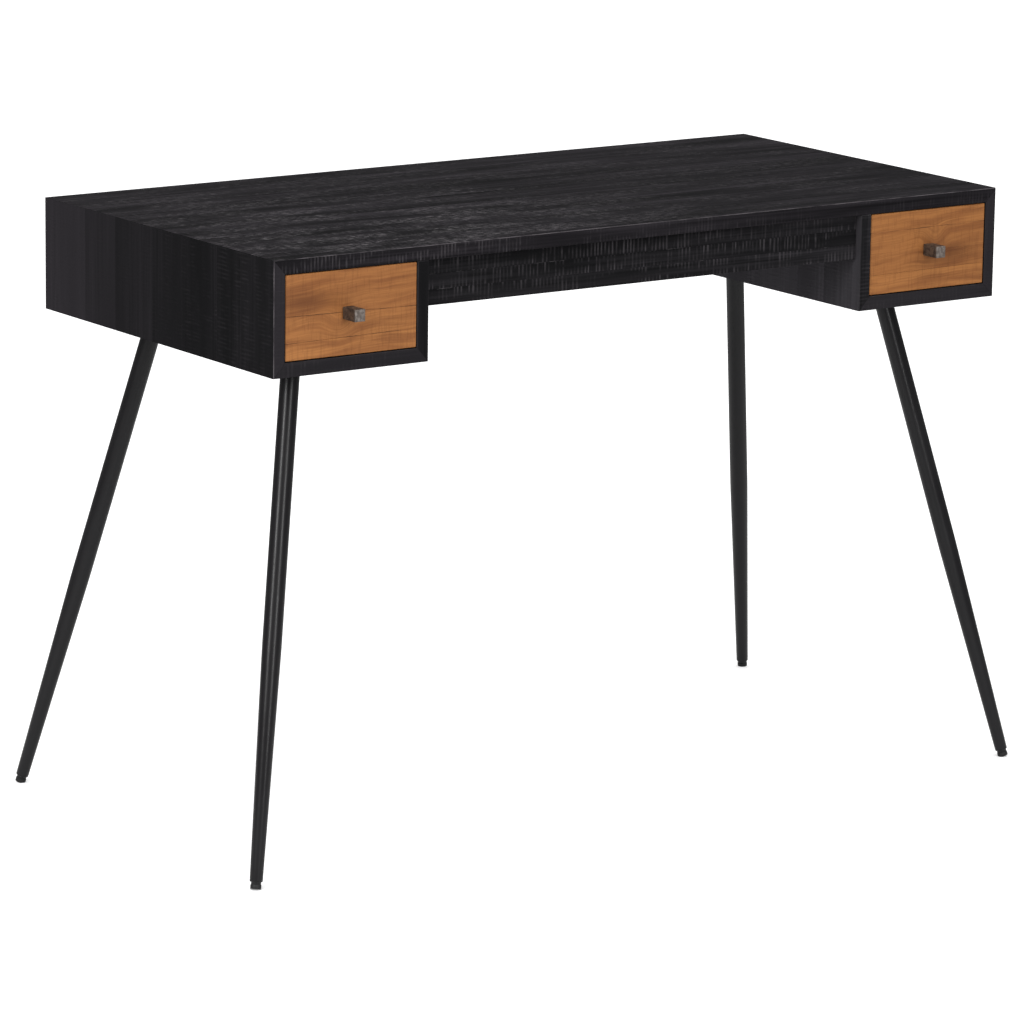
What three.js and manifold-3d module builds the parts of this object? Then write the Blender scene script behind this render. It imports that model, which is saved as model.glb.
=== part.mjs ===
// Writing desk with two drawers: a mitred case of dark boards on four splayed, tapered steel legs.
// Millimetres, +Z up, +X to the right as seen from the front, +Y towards the back.
// The origin is on the floor, under the middle of the desktop.

import * as THREE from 'three';
import { mergeVertices } from 'three/addons/utils/BufferGeometryUtils.js';
import Module from 'manifold-3d';

// Overall sizes.
const DESK_WIDTH = 1100;
const DESK_DEPTH = 540;
const DESK_HEIGHT = 760;
const CASE_HEIGHT = 142;
const COMPARTMENT_WIDTH = 220;

// Boards of the case.
const TOP_THICKNESS = 18;
const SIDE_THICKNESS = 16;
const BOTTOM_THICKNESS = 18;
const BACK_THICKNESS = 12;
const APRON_THICKNESS = 16;
const APRON_SETBACK = 10;
const APRON_HEIGHT = 58;

// Drawers.
const FRONT_THICKNESS = 16;
const FRONT_RECESS = 1;
const FRONT_REVEAL = 1.2;
const DRAWER_LENGTH = 400;
const DRAWER_WALL = 12;
const DRAWER_RISE = 10;
const DRAWER_HEADROOM = 16;
const DRAWER_BOTTOM_THICKNESS = 5;
const DRAWER_BOTTOM_RISE = 10;
const GROOVE_DEPTH = 5;
const KNOB_WIDTH = 15;
const KNOB_LENGTH = 27;
const KNOB_EDGE = 0.6;
// How far each knob sits to the right of its drawer's middle; the left one is drilled off centre.
const KNOB_SHIFT = { left: -5.5, right: 0 };

// Ball-bearing slides: three nested channels of folded sheet.
const SLIDE_SPACE = 12.7;
const SLIDE_SETBACK = 2;
const SLIDE_HEIGHT = 35;
const SHEET = 1.2;
const BALL_ROOM = 1.9;
const LIP = 2.6;
const CABINET_CHANNEL_DEPTH = 9.5;
const MIDDLE_CHANNEL_OFFSET = 2.8;
const MIDDLE_CHANNEL_DEPTH = 7.5;
const DRAWER_CHANNEL_DEPTH = 7.4;

// Legs.
const LEG_INSET_X = 96;
const LEG_INSET_Y = 112.5;
const LEG_SPLAY = 128;
const TUBE_DIAMETER = 24;
const TUBE_END_DIAMETER = 16;
const TUBE_WALL = 1.6;
const TAPER_LENGTH = 281;
const PLATE_SIZE = 90;
const PLATE_THICKNESS = 3;
const PLATE_CORNER = 6;
const SCREW_EDGE_DISTANCE = 12;

// Foot plugs.
const PLUG_FLANGE_DIAMETER = 13.4;
const PLUG_FLANGE_HEIGHT = 5.5;
const PLUG_NECK = 3;
const PLUG_SHANK_LENGTH = 16;
const PLUG_EDGE = 0.8;
const PLUG_FLAT = 5;

// Screws.
const SCREW_DIAMETER = 4;
const SCREW_HEAD_DIAMETER = 8;
const SCREW_HEAD_HEIGHT = 2.6;
const SCREW_CROWN_DIAMETER = 4.8;
const SCREW_RIM_HEIGHT = 1.2;
const LEG_SCREW_LENGTH = 13.6;
const KNOB_SCREW_GRIP = 8;
const PILOT_SPARE = 1.5;
const RECESS_LENGTH = 4.2;
const RECESS_WIDTH = 1;
const RECESS_DEPTH = 1.4;

// Clearances, how far a cut runs past the face it opens, the sides of round parts, and how near
// two points of a mesh count as one.
const FIT_GAP = 0.3;
const CUT_OVERRUN = 2;
const ROUND_STEPS = 24;
const SCREW_STEPS = 12;
const CORNER_STEPS = 5;
const MERGE_DISTANCE = 0.0001;

// Sizes that follow from the driving ones.
const UNDERSIDE = DESK_HEIGHT - CASE_HEIGHT;
const OPENING_WIDTH = COMPARTMENT_WIDTH - 2 * SIDE_THICKNESS;
const OPENING_HEIGHT = CASE_HEIGHT - TOP_THICKNESS - BOTTOM_THICKNESS;
const DRAWER_BOX_WIDTH = OPENING_WIDTH - 2 * SLIDE_SPACE;
const DRAWER_BOX_HEIGHT = OPENING_HEIGHT - DRAWER_RISE - DRAWER_HEADROOM;
const DRAWER_BOX_START = FRONT_RECESS + FRONT_THICKNESS + FIT_GAP;
const SLIDE_LENGTH = DRAWER_LENGTH - 2 * SLIDE_SETBACK;
const PILOT_RADIUS = SCREW_DIAMETER / 2 + FIT_GAP;

const wasm = await Module();
wasm.setup();

// Finishes.
const FINISHES = {
  blackWood: { color: 0x2b292c, roughness: 0.72, metalness: 0 },
  teak: { color: 0x96653f, roughness: 0.6, metalness: 0 },
  paleWood: { color: 0xb9986c, roughness: 0.7, metalness: 0 },
  blackSteel: { color: 0x2c2b2d, roughness: 0.4, metalness: 0.1 },
  zincSteel: { color: 0xb4b7b9, roughness: 0.35, metalness: 0.9 },
  agedMetal: { color: 0x62564e, roughness: 0.5, metalness: 0.8 },
  blackNylon: { color: 0x1d1c1e, roughness: 0.6, metalness: 0 },
};

// A solid from a closed geometry: shared corners are merged and triangles of no area left out.
function solidOf(geometry) {
  const bare = geometry.clone();
  bare.deleteAttribute('normal');
  bare.deleteAttribute('uv');
  const merged = mergeVertices(bare, MERGE_DISTANCE);
  const corners = merged.index.array;
  const kept = [];
  for (let i = 0; i < corners.length; i += 3) {
    const [a, b, c] = [corners[i], corners[i + 1], corners[i + 2]];
    if (a !== b && b !== c && c !== a) {
      kept.push(a, b, c);
    }
  }
  const vertProperties = new Float32Array(merged.attributes.position.array);
  const triVerts = new Uint32Array(kept);
  return new wasm.Manifold(new wasm.Mesh({ numProp: 3, vertProperties, triVerts }));
}

// A named mesh of one solid in one of the finishes.
function piece(name, solid, finish) {
  const { vertProperties, triVerts } = solid.getMesh();
  const geometry = new THREE.BufferGeometry();
  geometry.setAttribute('position', new THREE.BufferAttribute(vertProperties, 3));
  geometry.setIndex(new THREE.BufferAttribute(triVerts, 1));
  const shaded = geometry.toNonIndexed();
  shaded.computeVertexNormals();
  const mesh = new THREE.Mesh(shaded, new THREE.MeshStandardMaterial(FINISHES[finish]));
  mesh.name = name;
  return mesh;
}

// A block between two opposite corners.
function block([x0, y0, z0], [x1, y1, z1]) {
  const geometry = new THREE.BoxGeometry(x1 - x0, y1 - y0, z1 - z0);
  return solidOf(geometry.translate((x0 + x1) / 2, (y0 + y1) / 2, (z0 + z1) / 2));
}

// A bar whose outline is drawn in the front view, as [x, z] corners, running from front to back.
function bar(outline, front, back) {
  const shape = new THREE.Shape(outline.map(([x, z]) => new THREE.Vector2(x, z)));
  const geometry = new THREE.ExtrudeGeometry(shape, { depth: back - front, bevelEnabled: false });
  return solidOf(geometry.rotateX(Math.PI / 2).translate(0, back, 0));
}

// A turned solid about the Z axis, from [radius, height] corners in rising order on the outside.
function turned(profile, steps) {
  const points = profile.map(([radius, height]) => new THREE.Vector2(radius, height));
  return solidOf(new THREE.LatheGeometry(points, steps).rotateX(Math.PI / 2));
}

// A round rod along Z between two heights.
function rod(radius, low, high, steps) {
  return turned([[0, low], [radius, low], [radius, high], [0, high]], steps);
}

// The desktop: one wide board, mitred at both ends where the outer sides meet it.
function desktop() {
  const top = DESK_HEIGHT;
  const under = DESK_HEIGHT - TOP_THICKNESS;
  const topEnd = DESK_WIDTH / 2 - FIT_GAP;
  const underEnd = topEnd - SIDE_THICKNESS;
  const outline = [[-topEnd, top], [-underEnd, under], [underEnd, under], [topEnd, top]];
  return piece('desktop', bar(outline, -DESK_DEPTH / 2, DESK_DEPTH / 2), 'blackWood');
}

// The apron: a rail under the desktop's front edge, between the two compartments.
function apron() {
  const end = DESK_WIDTH / 2 - COMPARTMENT_WIDTH - FIT_GAP;
  const front = -DESK_DEPTH / 2 + APRON_SETBACK;
  const high = DESK_HEIGHT - TOP_THICKNESS;
  const low = high - APRON_HEIGHT;
  const solid = block([-end, front, low], [end, front + APRON_THICKNESS, high - FIT_GAP]);
  return piece('apron', solid, 'blackWood');
}

// The back panel: one long board between the outer sides, closing both compartments and the bay.
function backPanel() {
  const end = DESK_WIDTH / 2 - SIDE_THICKNESS - FIT_GAP;
  const back = DESK_DEPTH / 2;
  const low = UNDERSIDE + BOTTOM_THICKNESS + FIT_GAP;
  const high = DESK_HEIGHT - TOP_THICKNESS - FIT_GAP;
  const solid = block([-end, back - BACK_THICKNESS, low], [end, back, high]);
  return piece('back_panel', solid, 'blackWood');
}

// Places of one leg's four screws, from the leg's plate centre.
function screwPlaces() {
  const reach = PLATE_SIZE / 2 - SCREW_EDGE_DISTANCE;
  return [[-reach, -reach], [reach, -reach], [reach, reach], [-reach, reach]];
}

// The compartment's bottom: mitred into both sides, with pilot holes for the leg screws.
function compartmentBottom(side, outerFace, innerFace) {
  const outline = [
    [outerFace - FIT_GAP, 0],
    [innerFace - FIT_GAP, BOTTOM_THICKNESS],
    [FIT_GAP - innerFace, BOTTOM_THICKNESS],
    [FIT_GAP - outerFace, 0],
  ];
  let solid = bar(outline, 0, DESK_DEPTH);
  const depth = LEG_SCREW_LENGTH - PLATE_THICKNESS - FIT_GAP + PILOT_SPARE;
  const pilot = rod(PILOT_RADIUS, -1, depth, SCREW_STEPS);
  const legX = side * (COMPARTMENT_WIDTH / 2 - LEG_INSET_X);
  for (const legY of [LEG_INSET_Y, DESK_DEPTH - LEG_INSET_Y]) {
    for (const [x, y] of screwPlaces()) {
      solid = solid.subtract(pilot.translate([legX + x, legY + y, 0]));
    }
  }
  return solid;
}

// The fixed boards around one drawer. The compartment's own frame has its origin at the middle of
// the lower front edge; side is 1 on the right and -1 on the left.
function compartmentBoards(label, side) {
  const outerFace = COMPARTMENT_WIDTH / 2;
  const innerFace = outerFace - SIDE_THICKNESS;
  const underTop = CASE_HEIGHT - TOP_THICKNESS;
  const mirrored = (outline) => outline.map(([x, z]) => [side * x, z]);
  const outerSide = mirrored([
    [outerFace, 0],
    [outerFace, CASE_HEIGHT],
    [innerFace, underTop],
    [innerFace, BOTTOM_THICKNESS],
  ]);
  const innerSide = mirrored([
    [-outerFace, 0],
    [-innerFace, BOTTOM_THICKNESS],
    [-innerFace, underTop - FIT_GAP],
    [-outerFace, underTop - FIT_GAP],
  ]);
  // The inner side's rear end is notched so that the back panel passes over its mitred foot.
  const backNotch = block(
    [-outerFace - CUT_OVERRUN, DESK_DEPTH - BACK_THICKNESS - FIT_GAP, BOTTOM_THICKNESS],
    [outerFace + CUT_OVERRUN, DESK_DEPTH + CUT_OVERRUN, CASE_HEIGHT],
  );
  const innerBoard = bar(innerSide, 0, DESK_DEPTH).subtract(backNotch);
  const bottomPanel = compartmentBottom(side, outerFace, innerFace);
  return [
    piece(`outer_side_${label}`, bar(outerSide, 0, DESK_DEPTH), 'blackWood'),
    piece(`inner_side_${label}`, innerBoard, 'blackWood'),
    piece(`bottom_panel_${label}`, bottomPanel, 'blackWood'),
  ];
}

// A pan-head screw pointing up, its head's seat at height 0, with a cross recess in the head.
function screw(length) {
  const shank = SCREW_DIAMETER / 2;
  const head = SCREW_HEAD_DIAMETER / 2;
  const profile = [
    [0, -SCREW_HEAD_HEIGHT],
    [SCREW_CROWN_DIAMETER / 2, -SCREW_HEAD_HEIGHT],
    [head, -SCREW_RIM_HEIGHT],
    [head, 0],
    [shank, 0],
    [shank, length - SCREW_DIAMETER],
    [0, length],
  ];
  const half = RECESS_LENGTH / 2;
  const slot = RECESS_WIDTH / 2;
  const low = -SCREW_HEAD_HEIGHT - CUT_OVERRUN;
  const high = RECESS_DEPTH - SCREW_HEAD_HEIGHT;
  const recess = block([-half, -slot, low], [half, slot, high])
    .add(block([-slot, -half, low], [slot, half, high]));
  return turned(profile, SCREW_STEPS).subtract(recess);
}

// Drawer front: a teak board with a groove for the drawer bottom and a hole for the knob screw.
function drawerFront(knobShift) {
  const halfWidth = OPENING_WIDTH / 2 - FRONT_REVEAL;
  const low = BOTTOM_THICKNESS + FRONT_REVEAL;
  const high = BOTTOM_THICKNESS + OPENING_HEIGHT - FRONT_REVEAL;
  const back = FRONT_RECESS + FRONT_THICKNESS;
  const grooveLow = BOTTOM_THICKNESS + DRAWER_RISE + DRAWER_BOTTOM_RISE;
  const grooveHigh = grooveLow + DRAWER_BOTTOM_THICKNESS + 2 * FIT_GAP;
  const grooveHalf = DRAWER_BOX_WIDTH / 2 - DRAWER_WALL + GROOVE_DEPTH;
  const middle = (low + high) / 2;
  const holeEnd = FRONT_THICKNESS + CUT_OVERRUN;
  const hole = rod(PILOT_RADIUS, -CUT_OVERRUN, holeEnd, SCREW_STEPS).rotate([-90, 0, 0]);
  const groove = block(
    [-grooveHalf, back - GROOVE_DEPTH, grooveLow],
    [grooveHalf, back + CUT_OVERRUN, grooveHigh],
  );
  return block([-halfWidth, FRONT_RECESS, low], [halfWidth, back, high])
    .subtract(groove)
    .subtract(hole.translate([knobShift, FRONT_RECESS, middle]));
}

// Drawer side: a board grooved for the drawer bottom; hand is 1 for the right one.
function drawerSide(hand) {
  const outer = DRAWER_BOX_WIDTH / 2;
  const inner = outer - DRAWER_WALL;
  const low = BOTTOM_THICKNESS + DRAWER_RISE;
  const grooveLow = low + DRAWER_BOTTOM_RISE;
  const grooveHigh = grooveLow + DRAWER_BOTTOM_THICKNESS + 2 * FIT_GAP;
  const outline = [
    [outer, low],
    [outer, low + DRAWER_BOX_HEIGHT],
    [inner, low + DRAWER_BOX_HEIGHT],
    [inner, grooveHigh],
    [inner + GROOVE_DEPTH, grooveHigh],
    [inner + GROOVE_DEPTH, grooveLow],
    [inner, grooveLow],
    [inner, low],
  ];
  const placed = outline.map(([x, z]) => [hand * x, z]);
  return bar(placed, DRAWER_BOX_START, DRAWER_BOX_START + DRAWER_LENGTH);
}

// Drawer bottom: a thin panel held in the grooves, running out under the drawer back.
function drawerBottom() {
  const half = DRAWER_BOX_WIDTH / 2 - DRAWER_WALL + GROOVE_DEPTH - FIT_GAP;
  const low = BOTTOM_THICKNESS + DRAWER_RISE + DRAWER_BOTTOM_RISE + FIT_GAP;
  const front = FRONT_RECESS + FRONT_THICKNESS - GROOVE_DEPTH + FIT_GAP;
  const back = DRAWER_BOX_START + DRAWER_LENGTH;
  return block([-half, front, low], [half, back, low + DRAWER_BOTTOM_THICKNESS]);
}

// Drawer back: stands on the drawer bottom, between the drawer sides.
function drawerBack() {
  const half = DRAWER_BOX_WIDTH / 2 - DRAWER_WALL - FIT_GAP;
  const bottomTop = DRAWER_RISE + DRAWER_BOTTOM_RISE + DRAWER_BOTTOM_THICKNESS + 2 * FIT_GAP;
  const low = BOTTOM_THICKNESS + bottomTop;
  const high = BOTTOM_THICKNESS + DRAWER_RISE + DRAWER_BOX_HEIGHT;
  const back = DRAWER_BOX_START + DRAWER_LENGTH;
  return block([-half, back - DRAWER_WALL, low], [half, back, high]);
}

// Knob: a square bar with eased edges, bored from behind for its screw.
function knob() {
  const half = KNOB_WIDTH / 2 - KNOB_EDGE;
  const corners = [[-half, -half], [half, -half], [half, half], [-half, half]];
  const shape = new THREE.Shape(corners.map(([x, y]) => new THREE.Vector2(x, y)));
  const geometry = new THREE.ExtrudeGeometry(shape, {
    depth: KNOB_LENGTH - 2 * KNOB_EDGE,
    bevelEnabled: true,
    bevelSize: KNOB_EDGE,
    bevelThickness: KNOB_EDGE,
    bevelSegments: 1,
  });
  const bore = rod(PILOT_RADIUS, -CUT_OVERRUN, KNOB_SCREW_GRIP + PILOT_SPARE, SCREW_STEPS);
  return solidOf(geometry.translate(0, 0, KNOB_EDGE)).subtract(bore).rotate([90, 0, 0]);
}

// One channel of a slide in the front view: a web with a flange and a lip at both edges.
// Depths are measured from the compartment's wall; the channel opens from web towards mouth.
function channelOutline(web, mouth, height) {
  const way = Math.sign(mouth - web);
  const half = height / 2;
  const upper = [
    [web, half],
    [mouth, half],
    [mouth, half - LIP],
    [mouth - way * SHEET, half - LIP],
    [mouth - way * SHEET, half - SHEET],
    [web + way * SHEET, half - SHEET],
  ];
  const lower = upper.map(([depth, z]) => [depth, -z]).reverse();
  return [...upper, ...lower];
}

// The three members of one slide; hand is 1 on the right wall of the compartment.
function slideMembers(hand) {
  const wall = OPENING_WIDTH / 2;
  const middle = BOTTOM_THICKNESS + DRAWER_RISE + DRAWER_BOX_HEIGHT / 2;
  const front = DRAWER_BOX_START + SLIDE_SETBACK;
  const step = 2 * (SHEET + BALL_ROOM);
  const middleMouth = MIDDLE_CHANNEL_OFFSET + MIDDLE_CHANNEL_DEPTH;
  const drawerWeb = SLIDE_SPACE - FIT_GAP;
  const outlines = {
    cabinet_rail: channelOutline(FIT_GAP, CABINET_CHANNEL_DEPTH, SLIDE_HEIGHT),
    middle_rail: channelOutline(MIDDLE_CHANNEL_OFFSET, middleMouth, SLIDE_HEIGHT - step),
    drawer_rail: channelOutline(drawerWeb, drawerWeb - DRAWER_CHANNEL_DEPTH, SLIDE_HEIGHT - 2 * step),
  };
  return Object.entries(outlines).map(([member, outline]) => {
    const placed = outline.map(([depth, z]) => [hand * (wall - depth), middle + z]);
    return [member, bar(placed, front, front + SLIDE_LENGTH)];
  });
}

// One drawer with its knob and its pair of slides, in the compartment's own frame.
function drawer(label) {
  const knobHeight = BOTTOM_THICKNESS + OPENING_HEIGHT / 2;
  const knobShift = KNOB_SHIFT[label];
  const knobSeat = FRONT_RECESS - FIT_GAP;
  const screwSeat = FRONT_RECESS + FRONT_THICKNESS + FIT_GAP;
  const knobScrew = screw(FRONT_THICKNESS + 2 * FIT_GAP + KNOB_SCREW_GRIP).rotate([90, 0, 0]);
  const parts = [
    piece(`drawer_front_${label}`, drawerFront(knobShift), 'teak'),
    piece(`drawer_side_l_${label}`, drawerSide(-1), 'paleWood'),
    piece(`drawer_side_r_${label}`, drawerSide(1), 'paleWood'),
    piece(`drawer_back_${label}`, drawerBack(), 'paleWood'),
    piece(`drawer_bottom_${label}`, drawerBottom(), 'paleWood'),
    piece(`knob_${label}`, knob().translate([knobShift, knobSeat, knobHeight]), 'agedMetal'),
    piece(`knob_screw_${label}`, knobScrew.translate([knobShift, screwSeat, knobHeight]), 'zincSteel'),
  ];
  for (const [hand, mark] of [[-1, 'l'], [1, 'r']]) {
    for (const [member, solid] of slideMembers(hand)) {
      parts.push(piece(`${member}_${mark}_${label}`, solid, 'zincSteel'));
    }
  }
  return parts;
}

// A whole compartment, placed under its end of the desktop.
function compartment(label, side) {
  const group = new THREE.Group();
  const middle = side * (DESK_WIDTH - COMPARTMENT_WIDTH) / 2;
  group.position.set(middle, -DESK_DEPTH / 2, UNDERSIDE);
  group.add(...compartmentBoards(label, side), ...drawer(label));
  return group;
}

// The leg's tube along -Z from its upper end at 0: straight, then tapering to a rounded mouth.
function legTube(length) {
  const upper = TUBE_DIAMETER / 2;
  const lower = TUBE_END_DIAMETER / 2;
  const mouth = lower - TUBE_WALL;
  const taperStart = TAPER_LENGTH - length;
  const ease = TUBE_WALL * (1 - Math.SQRT1_2);
  const profile = [
    [mouth, -length],
    [lower - ease, -length + ease],
    [lower, -length + TUBE_WALL],
    [upper, taperStart],
    [upper, 0],
    [upper - TUBE_WALL, 0],
    [upper - TUBE_WALL, taperStart],
    [mouth, -length + PLUG_SHANK_LENGTH + PLUG_NECK],
    [mouth, -length],
  ];
  return turned(profile, ROUND_STEPS);
}

// The plate welded to the tube's upper end, with rounded corners and clearance holes for the screws.
function legPlate() {
  const half = PLATE_SIZE / 2;
  const shape = new THREE.Shape();
  shape.moveTo(PLATE_CORNER - half, -half);
  shape.lineTo(half - PLATE_CORNER, -half);
  shape.absarc(half - PLATE_CORNER, PLATE_CORNER - half, PLATE_CORNER, -Math.PI / 2, 0);
  shape.absarc(half - PLATE_CORNER, half - PLATE_CORNER, PLATE_CORNER, 0, Math.PI / 2);
  shape.absarc(PLATE_CORNER - half, half - PLATE_CORNER, PLATE_CORNER, Math.PI / 2, Math.PI);
  shape.absarc(PLATE_CORNER - half, PLATE_CORNER - half, PLATE_CORNER, Math.PI, 1.5 * Math.PI);
  const options = { depth: PLATE_THICKNESS, bevelEnabled: false, curveSegments: CORNER_STEPS };
  const geometry = new THREE.ExtrudeGeometry(shape, options);
  let solid = solidOf(geometry.translate(0, 0, -PLATE_THICKNESS - FIT_GAP));
  const hole = rod(PILOT_RADIUS, -PLATE_THICKNESS - CUT_OVERRUN, CUT_OVERRUN, SCREW_STEPS);
  for (const [x, y] of screwPlaces()) {
    solid = solid.subtract(hole.translate([x, y, 0]));
  }
  return solid;
}

// Foot plug on the leg's axis, which runs down -Z from the case's underside to the plug's end face.
function footPlug(end) {
  const shank = TUBE_END_DIAMETER / 2 - TUBE_WALL - FIT_GAP;
  const flange = PLUG_FLANGE_DIAMETER / 2;
  const flangeTop = PLUG_FLANGE_HEIGHT - end;
  const profile = [
    [0, -end],
    [flange - PLUG_EDGE, -end],
    [flange, PLUG_EDGE - end],
    [flange, flangeTop - PLUG_EDGE],
    [flange - PLUG_EDGE, flangeTop],
    [shank, flangeTop],
    [shank, flangeTop + PLUG_NECK + PLUG_SHANK_LENGTH],
    [0, flangeTop + PLUG_NECK + PLUG_SHANK_LENGTH],
  ];
  return turned(profile, ROUND_STEPS);
}

// One leg: the welded tube and plate, its plug cut flat on the floor, and its four screws.
function leg(label, sideX, sideY) {
  const down = new THREE.Vector3(sideX * LEG_SPLAY, sideY * LEG_SPLAY, -UNDERSIDE);
  const tilt = down.angleTo(new THREE.Vector3(0, 0, -1));
  const turn = new THREE.Quaternion();
  turn.setFromUnitVectors(new THREE.Vector3(0, 0, -1), down.clone().normalize());
  const lean = new THREE.Matrix4().makeRotationFromQuaternion(turn).elements;
  const flatEdge = PLUG_FLANGE_DIAMETER / 2 - PLUG_FLAT;
  const end = (UNDERSIDE - flatEdge * Math.sin(tilt)) / Math.cos(tilt);
  const tubeLength = end - PLUG_FLANGE_HEIGHT - PLUG_NECK;
  const reach = DESK_WIDTH;
  const belowPlateTop = block([-reach, -reach, -UNDERSIDE], [reach, reach, -FIT_GAP]);
  const tubeTop = TUBE_DIAMETER * Math.tan(tilt);
  const tube = legTube(tubeLength + tubeTop).translate([0, 0, tubeTop]).transform(lean);
  const weldment = tube.intersect(belowPlateTop).add(legPlate());
  const plug = footPlug(end).transform(lean).intersect(belowPlateTop);

  const group = new THREE.Group();
  const x = sideX * (DESK_WIDTH / 2 - LEG_INSET_X);
  const y = sideY * (DESK_DEPTH / 2 - LEG_INSET_Y);
  group.position.set(x, y, UNDERSIDE);
  group.add(piece(`leg_${label}`, weldment, 'blackSteel'));
  group.add(piece(`foot_plug_${label}`, plug, 'blackNylon'));
  screwPlaces().forEach(([screwX, screwY], index) => {
    const seat = -PLATE_THICKNESS - 2 * FIT_GAP;
    const solid = screw(LEG_SCREW_LENGTH).translate([screwX, screwY, seat]);
    group.add(piece(`leg_screw_${label}_${index + 1}`, solid, 'zincSteel'));
  });
  return group;
}

const desk = new THREE.Group();
desk.add(desktop());
desk.add(apron());
desk.add(backPanel());
desk.add(compartment('left', -1));
desk.add(compartment('right', 1));
desk.add(leg('front_left', -1, -1));
desk.add(leg('front_right', 1, -1));
desk.add(leg('back_left', -1, 1));
desk.add(leg('back_right', 1, 1));

export default desk;
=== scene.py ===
import math
import random

import bmesh
import bpy
from mathutils import Matrix, Vector


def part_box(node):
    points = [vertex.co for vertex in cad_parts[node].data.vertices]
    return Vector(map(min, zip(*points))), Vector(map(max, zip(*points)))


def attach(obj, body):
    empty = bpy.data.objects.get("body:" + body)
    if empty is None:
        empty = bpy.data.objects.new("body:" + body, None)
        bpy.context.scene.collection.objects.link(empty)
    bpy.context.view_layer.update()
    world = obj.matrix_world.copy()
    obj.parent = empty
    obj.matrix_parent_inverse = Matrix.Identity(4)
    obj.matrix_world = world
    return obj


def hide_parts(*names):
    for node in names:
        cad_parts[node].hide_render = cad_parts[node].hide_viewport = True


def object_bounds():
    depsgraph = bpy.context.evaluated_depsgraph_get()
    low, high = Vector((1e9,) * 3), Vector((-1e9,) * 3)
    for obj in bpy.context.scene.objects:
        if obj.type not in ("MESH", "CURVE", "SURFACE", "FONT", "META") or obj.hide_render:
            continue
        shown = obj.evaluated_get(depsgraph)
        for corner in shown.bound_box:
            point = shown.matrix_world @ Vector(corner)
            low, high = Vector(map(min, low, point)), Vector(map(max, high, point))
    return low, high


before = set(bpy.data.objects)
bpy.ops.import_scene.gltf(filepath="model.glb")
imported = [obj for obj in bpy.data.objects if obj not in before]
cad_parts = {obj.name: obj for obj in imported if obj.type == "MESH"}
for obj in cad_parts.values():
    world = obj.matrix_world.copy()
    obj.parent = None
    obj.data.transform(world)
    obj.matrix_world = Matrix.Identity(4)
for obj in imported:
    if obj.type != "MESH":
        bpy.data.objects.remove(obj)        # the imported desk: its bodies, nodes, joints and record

cad_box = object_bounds()


# ---------------------------------------------------------------------------
# Camera: a long lens standing well back to the desk's left and a little above
# its top, so that the worktop, the left side and the front all show.
CAMERA_PLACE = Vector((-3.847, -5.499, 1.835))
CAMERA_TURN = -0.6085    # radians, to its right
CAMERA_DIP = 0.2188      # radians, downwards
CAMERA_LEAN = 0.0143     # radians, anticlockwise
CAMERA_LENS = 187.3      # millimetres
VIEW_END = 200.0         # metres

ahead = Vector((
    -math.sin(CAMERA_TURN) * math.cos(CAMERA_DIP),
    math.cos(CAMERA_TURN) * math.cos(CAMERA_DIP),
    -math.sin(CAMERA_DIP),
))
level = Vector((math.cos(CAMERA_TURN), math.sin(CAMERA_TURN), 0))
upright = level.cross(ahead)
camera_lean = Matrix.Rotation(-CAMERA_LEAN, 3, ahead)
camera_axes = Matrix((camera_lean @ level, camera_lean @ upright, -ahead)).transposed()

camera_data = bpy.data.cameras.new("camera")
camera_data.lens = CAMERA_LENS
camera_data.clip_end = VIEW_END
camera = bpy.data.objects.new("camera", camera_data)
camera.matrix_world = Matrix.Translation(CAMERA_PLACE) @ camera_axes.to_4x4()
bpy.context.scene.collection.objects.link(camera)
bpy.context.scene.camera = camera


# ---------------------------------------------------------------------------
# Studio: a plain pale floor in a white room whose light comes mostly from its
# ceiling, with two upright strip lights that give the steel its long shines.
# The floor looks nearly white, and passes on less light the further off it is.
FLOOR_HALF = 60.0
FLOOR_SEEN = "F6F6F6"
FLOOR_BOUNCE_NEAR = "DCDCDC"
FLOOR_BOUNCE_FAR = "8C8C8C"
FLOOR_NEAR, FLOOR_FAR = 0.9, 2.6
FLOOR_GLOW = 0.25
ROOM_WHITE = "FFFFFF"
CEILING_LIGHT = 1.5
HORIZON_LIGHT = 0.16
WALL_FOOT, WALL_HEAD = 0.1, 0.8    # where its light begins and ends its rise, straight up being 1
SOFTBOXES = (
    # name, place, aimed at, width, height, watts
    ("left_strip", (-3.3, -1.25, 1.8), (-0.4, -0.2, 0.5), 0.5, 1.5, 44),
    ("front_strip", (-0.5, -3.2, 1.2), (-0.3, -0.2, 0.5), 0.5, 1.3, 22),
)


def to_linear(colour):
    """An sRGB hex colour as the linear colour a shader takes."""
    channels = [int(colour[i:i + 2], 16) / 255 for i in (0, 2, 4)]
    return [c / 12.92 if c <= 0.04045 else ((c + 0.055) / 1.055) ** 2.4 for c in channels] + [1]


def add(tree, kind, inputs=None, **settings):
    """Adds a node with its settings; an input is a value or another node's output."""
    made = tree.nodes.new("ShaderNode" + kind)
    for setting, value in settings.items():
        setattr(made, setting, value)
    for socket, value in (inputs or {}).items():
        if isinstance(value, bpy.types.NodeSocket):
            tree.links.new(value, made.inputs[socket])
        else:
            made.inputs[socket].default_value = value
    return made


def together(tree, *masks):
    """Masks multiplied together, full only where every one of them is."""
    share = masks[0]
    for mask in masks[1:]:
        share = add(tree, "Math", {0: share, 1: mask}, operation="MULTIPLY").outputs[0]
    return share


def layered(tree, base, *layers):
    """A base colour under others, each laid on as thickly as its masks together say."""
    colour = to_linear(base)
    for over, *masks in layers:
        inputs = {0: together(tree, *masks), 6: colour, 7: to_linear(over)}
        colour = add(tree, "Mix", inputs, data_type="RGBA").outputs[2]
    return colour


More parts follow.
